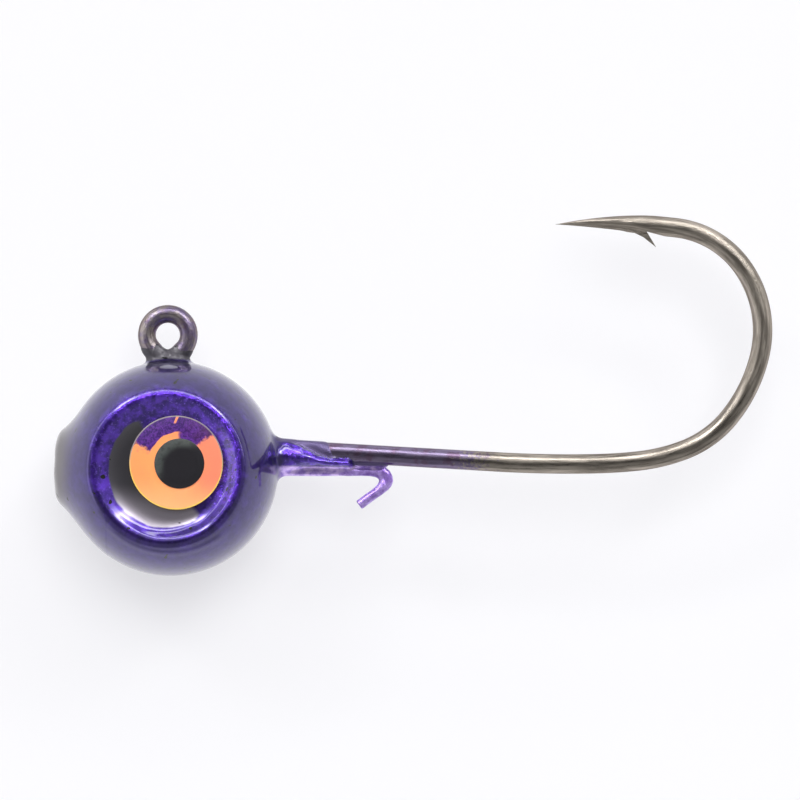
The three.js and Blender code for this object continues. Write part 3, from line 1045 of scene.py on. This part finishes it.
EYE_LAYERS = (  # CAD layer, piece, material slot, material, profile, rings on top, sides
    ("adhesive", "pad", "adhesive", adhesive_pad(), disc_profile, 2, 96),
    ("foil", "film", "holographic_foil", holographic_foil(), disc_profile, 3, 160),
    ("pupil", "print", "pupil_ink", pupil_ink(), disc_profile, 3, 96),
    ("dome", "resin", "clear_resin", clear_resin(), dome_profile, DOME_RINGS, 128),
)
for side, outward in (("left", -1), ("right", 1)):
    for layer, piece, slot, material, profile, count, sides in EYE_LAYERS:
        node = f"{side}_eye_{layer}"
        low, high = box_mm(node)
        bottom, top = sorted((abs(low[1]), abs(high[1])))
        centre = (low + high) / 2
        rings = profile((high[0] - low[0]) / 2, bottom, top, count)
        origin = (centre[0], 0.0, centre[2])
        disc = turned(f"{side}_eye_{piece}", rings, material, origin, outward, sides)
        finish_piece(disc, node)

# ---- Camera ----

AZIMUTH, ELEVATION, ROLL = math.radians(1.5), math.radians(-0.7), math.radians(3.31)
DISTANCE = 330  # millimetres
AIM = Vector(BALL) + Vector((14.57, 0, 5.27))  # the middle of the picture
FRAME_WIDTH = 51.79  # millimetres across the picture, at the aim
SENSOR_WIDTH = 36

towards = Vector(
    (
        math.sin(AZIMUTH) * math.cos(ELEVATION),
        -math.cos(AZIMUTH) * math.cos(ELEVATION),
        math.sin(ELEVATION),
    )
)
camera_data = bpy.data.cameras.new("camera")
camera = bpy.data.objects.new("camera", camera_data)
bpy.context.scene.collection.objects.link(camera)
camera.rotation_mode = "QUATERNION"
camera.location = (AIM + towards * DISTANCE) * MM
camera.rotation_quaternion = (-towards).to_track_quat("-Z", "Y") @ Quaternion((0, 0, 1), ROLL)
camera_data.sensor_width = SENSOR_WIDTH
camera_data.lens = SENSOR_WIDTH * DISTANCE / FRAME_WIDTH
camera_data.clip_start = 0.01
camera_data.clip_end = 10
bpy.context.scene.camera = camera

right = camera.rotation_quaternion @ Vector((1, 0, 0))
up = camera.rotation_quaternion @ Vector((0, 1, 0))

# ---- Stage: the jig lies on its side on a pale table, seen from above, in a white tent ----

TABLE_GAP = 6.2  # millimetres from the jig's middle to the table behind it
TABLE_HALF = 0.26  # metres
TABLE_FADE = (0.10, 0.24)  # metres from its middle
TABLE_GLOW = 0.68  # the share of the table's light that no shadow reaches


def table_top():
    """A pale surface seen only from the jig's side, which fades out far from it."""
    material, n = new_material("table_top")
    place = n.add("ShaderNodeTexCoord").outputs["Object"]
    grain = n.noise(place, 40.0, 2, 0.5)
    colour = n.mix(grain, (0.90, 0.90, 0.915), (0.93, 0.93, 0.94))
    diffuse = n.add("ShaderNodeBsdfDiffuse", Color=colour, Normal=n.bump(grain, 0.05, 0.0002))
    glow = n.add("ShaderNodeEmission", Color=(0.97, 0.965, 1.0, 1), Strength=1.0)
    white = n.mix_shader(TABLE_GLOW, diffuse, glow)
    back = n.add("ShaderNodeNewGeometry").outputs["Backfacing"]
    hide = n.math("MAXIMUM", back, n.step(n.length(place), *TABLE_FADE))
    n.surface(n.mix_shader(hide, white, n.add("ShaderNodeBsdfTransparent")))
    return material


corners = ((-1, -1), (1, -1), (1, 1), (-1, 1))
table_mesh = bpy.data.meshes.new("table_top")
table_mesh.from_pydata(
    [tuple(right * (sx * TABLE_HALF) + up * (sz * TABLE_HALF)) for sx, sz in corners], [], [[0, 1, 2, 3]]
)
table = bpy.data.objects.new("table_top", table_mesh)
table.location = (AIM - towards * TABLE_GAP) * MM
table_mesh.materials.append(table_top())
bpy.context.scene.collection.objects.link(table)
table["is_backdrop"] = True

# Each light's span in degrees off the camera's axis and in degrees round it from the top, both as low, high
# and softness, and its strength.
STUDIO_LIGHTS = (
    ((52, 58, 1.5), (-46, 50, 8), 8.0),  # a narrow strip
    ((66, 70, 1.5), (-67, 81, 10), 5.5),  # a thin arc outside it
    ((60, 84, 5), (-120, -62, 15), 1.1),  # a wide panel at the nose's side
    ((28, 52, 12), (-55, 55, 20), 0.8),  # a faint glow inside the strip
    ((42, 60, 3), (-44, -30, 4), 9.0),  # two lamps
    ((42, 60, 3), (31, 45, 4), 9.0),
)


def studio():
    """A white tent, darker where the camera stands, with the studio lights. The camera sees plain white."""
    world = bpy.data.worlds.new("studio")
    bpy.context.scene.world = world
    world.use_nodes = True
    n = Nodes(world.node_tree)
    direction = n.add("ShaderNodeTexCoord").outputs["Generated"]

    def along(axis):
        return n.vector_math("DOT_PRODUCT", direction, tuple(axis))["Value"]

    def window(value, low, high, soft):
        return n.times(n.step(value, low - soft, low + soft), n.step(value, high + soft, high - soft))

    off_camera = n.times(n.math("ARCCOSINE", along(towards)), DEGREE)
    clock = n.times(n.math("ARCTAN2", along(right), along(up)), DEGREE)

    # The tent is brightest behind the jig, and a little dimmer to the right.
    tent = n.plus(n.times(n.step(off_camera, 76, 96), 0.55), 0.38)
    tent = n.times(tent, n.minus(1.0, n.times(along(right), 0.15)))
    # The dark round the camera reaches 7 degrees further up than to the sides.
    above = n.math("COSINE", n.math("DIVIDE", clock, DEGREE))
    lifted = n.minus(off_camera, n.times(above, 7.0))
    value = n.times(tent, n.plus(0.3, n.times(n.step(lifted, 12, 48), 0.7)))
    for off_axis, round_axis, strength in STUDIO_LIGHTS:
        lamp = n.times(window(off_camera, *off_axis), window(clock, *round_axis))
        value = n.plus(value, n.times(lamp, strength))
    # Matt surfaces see it dimmed, because the sun lights them too.
    rays = n.add("ShaderNodeLightPath").outputs
    value = n.times(value, n.minus(1.0, n.times(rays["Is Diffuse Ray"], 0.6)))
    light = n.add("ShaderNodeBackground", Color=(1.0, 1.0, 1.0, 1), Strength=value)
    white = n.add("ShaderNodeBackground", Color=(1.0, 1.0, 1.0, 1), Strength=1.0)
    mixed = n.mix_shader(rays["Is Camera Ray"], light, white)
    n.add("ShaderNodeOutputWorld", Surface=mixed.outputs[0])


studio()

# Soft light from just above the camera casts the shadows on the table. Nothing mirrors it.
SUN_STRENGTH = 2.0
SUN_SPREAD = math.radians(34)
SUN_ABOVE, SUN_ASIDE = math.radians(21), math.radians(6)  # from the camera's axis

sun_data = bpy.data.lights.new("overhead", "SUN")
sun_data.energy = SUN_STRENGTH
sun_data.angle = SUN_SPREAD
sun = bpy.data.objects.new("overhead", sun_data)
sun.rotation_mode = "QUATERNION"
from_sun = towards + up * math.tan(SUN_ABOVE) + right * math.tan(SUN_ASIDE)
sun.rotation_quaternion = (-from_sun).to_track_quat("-Z", "Y")
sun.visible_glossy = False
bpy.context.scene.collection.objects.link(sun)

bpy.context.scene.view_settings.view_transform = "Standard"

low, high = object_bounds()
